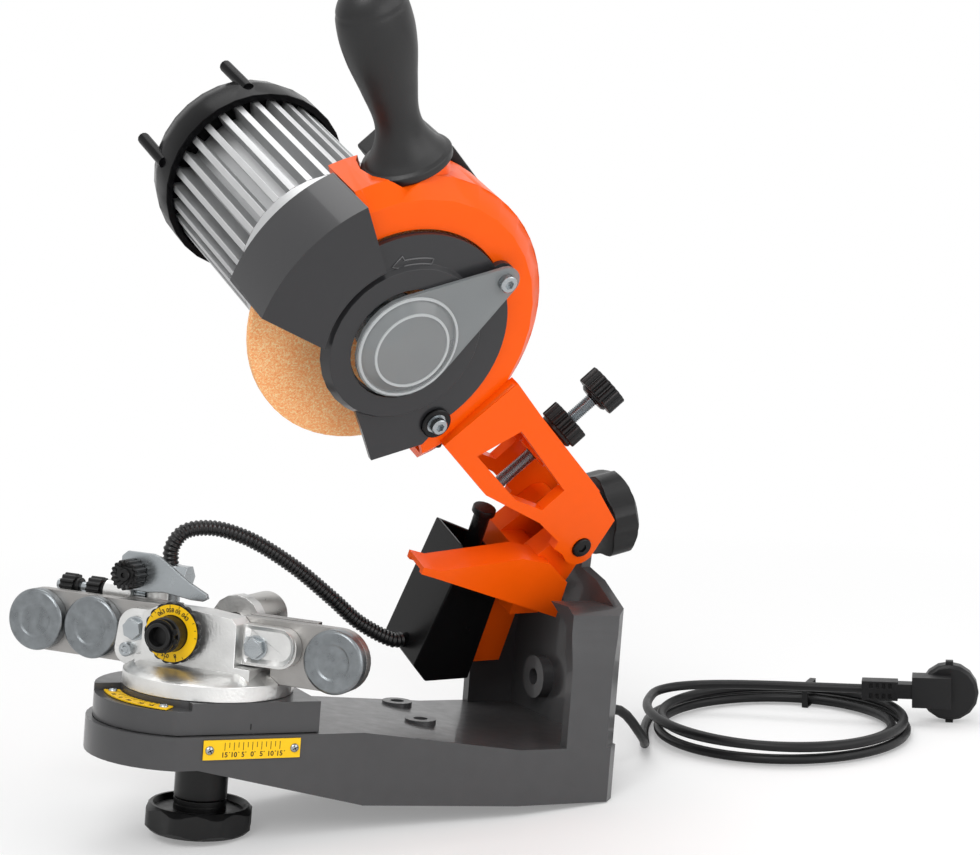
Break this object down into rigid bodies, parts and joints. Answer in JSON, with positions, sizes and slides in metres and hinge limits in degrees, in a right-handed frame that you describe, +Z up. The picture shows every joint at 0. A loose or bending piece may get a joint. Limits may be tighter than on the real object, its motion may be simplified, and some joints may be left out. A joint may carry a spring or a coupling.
{
  "type": "electric chainsaw sharpener",
  "caption": "Bench chain grinder with a tilting, swinging motor head and grinding wheel over a turning chain vise on a rocking table, clamped by a hydraulic hose from the arm.",
  "frame": {"origin": "middle of the machine's own box, without its mains cord, on the surface it stands on", "axes": "+X from the vise towards the rear column and the mains cord, -Y towards the operator's side with the wheel cover, +Z up"},
  "size_m": [0.6083, 0.299, 0.4448],
  "materials": {
    "grey_paint": "satin",
    "orange_paint": "gloss",
    "black_plastic": "satin",
    "dark_grey_plastic": "satin",
    "black_steel": "satin",
    "cast_aluminium": "cast",
    "zinc_steel": "zinc plated",
    "jaw_steel": "ground",
    "yellow_scale": "printed",
    "abrasive": "gritty",
    "clear_plastic": "translucent",
    "hose_black": "satin",
    "cord_black": "satin"
  },
  "bodies": {
    "base": {"base_casting": "grey_paint", "cord_gland": "black_plastic", "side_scale_plate": "yellow_scale", "hose_middle": "hose_black", "power_cord": "cord_black", "cord_coil": "cord_black", "cord_tie": "cord_black", "plug_body": "cord_black"},
    "table": {"table_casting": "grey_paint", "vise_scale_plate": "yellow_scale", "clamp_stud": "zinc_steel", "clamp_sleeve": "black_plastic"},
    "clamp_knob": {"clamp_knob": "black_plastic"},
    "vise": {"vise_casting": "cast_aluminium", "jaw_fixed": "jaw_steel", "vise_bolt_left": "zinc_steel", "vise_bolt_right": "zinc_steel", "stop_post": "cast_aluminium", "stop_bracket": "zinc_steel", "guide_rod": "zinc_steel", "guide_sleeve": "cast_aluminium", "clamp_cylinder": "jaw_steel", "hose_tee": "zinc_steel", "hose_front": "hose_black"},
    "jaw_sliding": {"jaw_sliding": "jaw_steel"},
    "roller_left_outer": {"roller_left_outer": "zinc_steel"},
    "roller_left_inner": {"roller_left_inner": "zinc_steel"},
    "roller_right": {"roller_right": "zinc_steel"},
    "dial": {"depth_dial": "black_plastic", "dial_hub": "black_plastic"},
    "stop_knob": {"stop_knob": "black_plastic"},
    "thumb_nut_outer": {"thumb_nut_outer": "black_plastic"},
    "thumb_nut_inner": {"thumb_nut_inner": "black_plastic"},
    "head": {"tilt_bracket": "orange_paint", "tilt_shaft": "zinc_steel", "pivot_pin": "black_steel", "pivot_spring": "black_steel", "pump_cover": "black_steel", "hose_rear": "hose_black"},
    "tilt_knob": {"tilt_knob": "black_plastic"},
    "pump_plunger": {"pump_plunger": "zinc_steel"},
    "arm": {"arm_casting": "orange_paint", "wheel_guard": "dark_grey_plastic", "side_cover": "dark_grey_plastic", "cover_screw_top": "zinc_steel", "handle": "black_plastic", "switch_box": "black_plastic", "motor_bell": "cast_aluminium", "motor_fins": "cast_aluminium", "motor_cap": "black_plastic"},
    "clear_cover": {"clear_cover": "clear_plastic"},
    "stop_screw": {"stop_screw": "zinc_steel"},
    "stop_lock_knob": {"stop_lock_knob": "black_plastic"},
    "switch_rocker": {"switch_rocker": "black_plastic"},
    "spindle": {"motor_shaft": "jaw_steel", "grinding_wheel": "abrasive", "wheel_flange_front": "zinc_steel", "wheel_flange_rear": "zinc_steel", "arbor_nut": "zinc_steel"}
  },
  "joints": [
    {"name": "table_rock", "type": "hinge", "parent": "base", "child": "table", "pos_m": [-0.08385, 0.01646, 0.11727], "axis": [0, 1, 0], "range_deg": [-15, 15]},
    {"name": "clamp_turn", "type": "hinge", "parent": "table", "child": "clamp_knob", "pos_m": [-0.09407, 0.01646, 0.02483], "axis": [0.1099, 0, 0.9939], "continuous": true},
    {"name": "vise_turn", "type": "hinge", "parent": "table", "child": "vise", "pos_m": [-0.08748, 0.01646, 0.08447], "axis": [0.1099, 0, 0.9939], "range_deg": [-80, 2], "deforming": ["hose_front", "hose_middle"]},
    {"name": "jaw_close", "type": "slide", "parent": "vise", "child": "jaw_sliding", "axis": [-0.7269, -0.682, 0.0804], "range_m": [0, 0.0018]},
    {"name": "roller_left_outer_turn", "type": "hinge", "parent": "vise", "child": "roller_left_outer", "pos_m": [-0.16288, 0.08428, 0.11494], "axis": [0.7269, 0.682, -0.0804], "continuous": true},
    {"name": "roller_left_inner_turn", "type": "hinge", "parent": "vise", "child": "roller_left_inner", "pos_m": [-0.13881, 0.05832, 0.11228], "axis": [0.7269, 0.682, -0.0804], "continuous": true},
    {"name": "roller_right_turn", "type": "hinge", "parent": "vise", "child": "roller_right", "pos_m": [-0.03985, -0.04846, 0.10134], "axis": [0.7269, 0.682, -0.0804], "continuous": true},
    {"name": "depth_dial_turn", "type": "hinge", "parent": "vise", "child": "dial", "pos_m": [-0.11157, 0.00185, 0.11591], "axis": [0.7269, 0.682, -0.0804], "range_deg": [-150, 150]},
    {"name": "stop_knob_turn", "type": "hinge", "parent": "vise", "child": "stop_knob", "pos_m": [-0.11769, 0.05522, 0.14013], "axis": [0.7269, 0.682, -0.0804], "continuous": true},
    {"name": "thumb_nut_outer_turn", "type": "hinge", "parent": "vise", "child": "thumb_nut_outer", "pos_m": [-0.13843, 0.09658, 0.12934], "axis": [0.6779, -0.7314, -0.0749], "continuous": true},
    {"name": "thumb_nut_inner_turn", "type": "hinge", "parent": "vise", "child": "thumb_nut_inner", "pos_m": [-0.12691, 0.08415, 0.12807], "axis": [0.6779, -0.7314, -0.0749], "continuous": true},
    {"name": "head_tilt", "type": "hinge", "parent": "base", "child": "head", "pos_m": [0.14129, 0.01646, 0.15169], "axis": [0.9885, 0, 0.1511], "range_deg": [-26.5, 8.5], "deforming": ["hose_rear"]},
    {"name": "tilt_knob_turn", "type": "hinge", "parent": "head", "child": "tilt_knob", "pos_m": [0.16176, 0.01646, 0.15482], "axis": [0.9885, 0, 0.1511], "continuous": true},
    {"name": "arm_swing", "type": "hinge", "parent": "head", "child": "arm", "pos_m": [0.12758, 0.01363, 0.15532], "axis": [-0.0674, 0.8949, 0.4411], "range_deg": [-31.5, 0]},
    {"name": "pump_plunge", "type": "slide", "parent": "head", "child": "pump_plunger", "axis": [0.1252, -0.431, 0.8936], "range_m": [-0.00787, 0]},
    {"name": "spindle_spin", "type": "hinge", "parent": "arm", "child": "spindle", "pos_m": [-0.01482, -0.06036, 0.28369], "axis": [-0.0674, 0.8949, 0.4411], "continuous": true},
    {"name": "clear_cover_swing", "type": "hinge", "parent": "arm", "child": "clear_cover", "pos_m": [0.03744, -0.10238, 0.29984], "axis": [-0.0674, 0.8949, 0.4411], "range_deg": [-90, 0]},
    {"name": "stop_screw_turn", "type": "hinge", "parent": "arm", "child": "stop_screw", "pos_m": [0.11204, -0.01354, 0.20808], "axis": [0.7178, -0.2635, 0.6444], "continuous": true},
    {"name": "stop_lock_turn", "type": "hinge", "parent": "arm", "child": "stop_lock_knob", "pos_m": [0.11778, -0.01565, 0.21323], "axis": [0.7178, -0.2635, 0.6444], "continuous": true},
    {"name": "switch_rock", "type": "hinge", "parent": "arm", "child": "switch_rocker", "pos_m": [0.02882, -0.05141, 0.36288], "axis": [-0.0674, 0.8949, 0.4411], "range_deg": [-10, 10]}
  ],
  "couplings": [
    {"joint": "pump_plunge", "follows": "arm_swing", "m_per_rad": 0.01432}
  ]
}
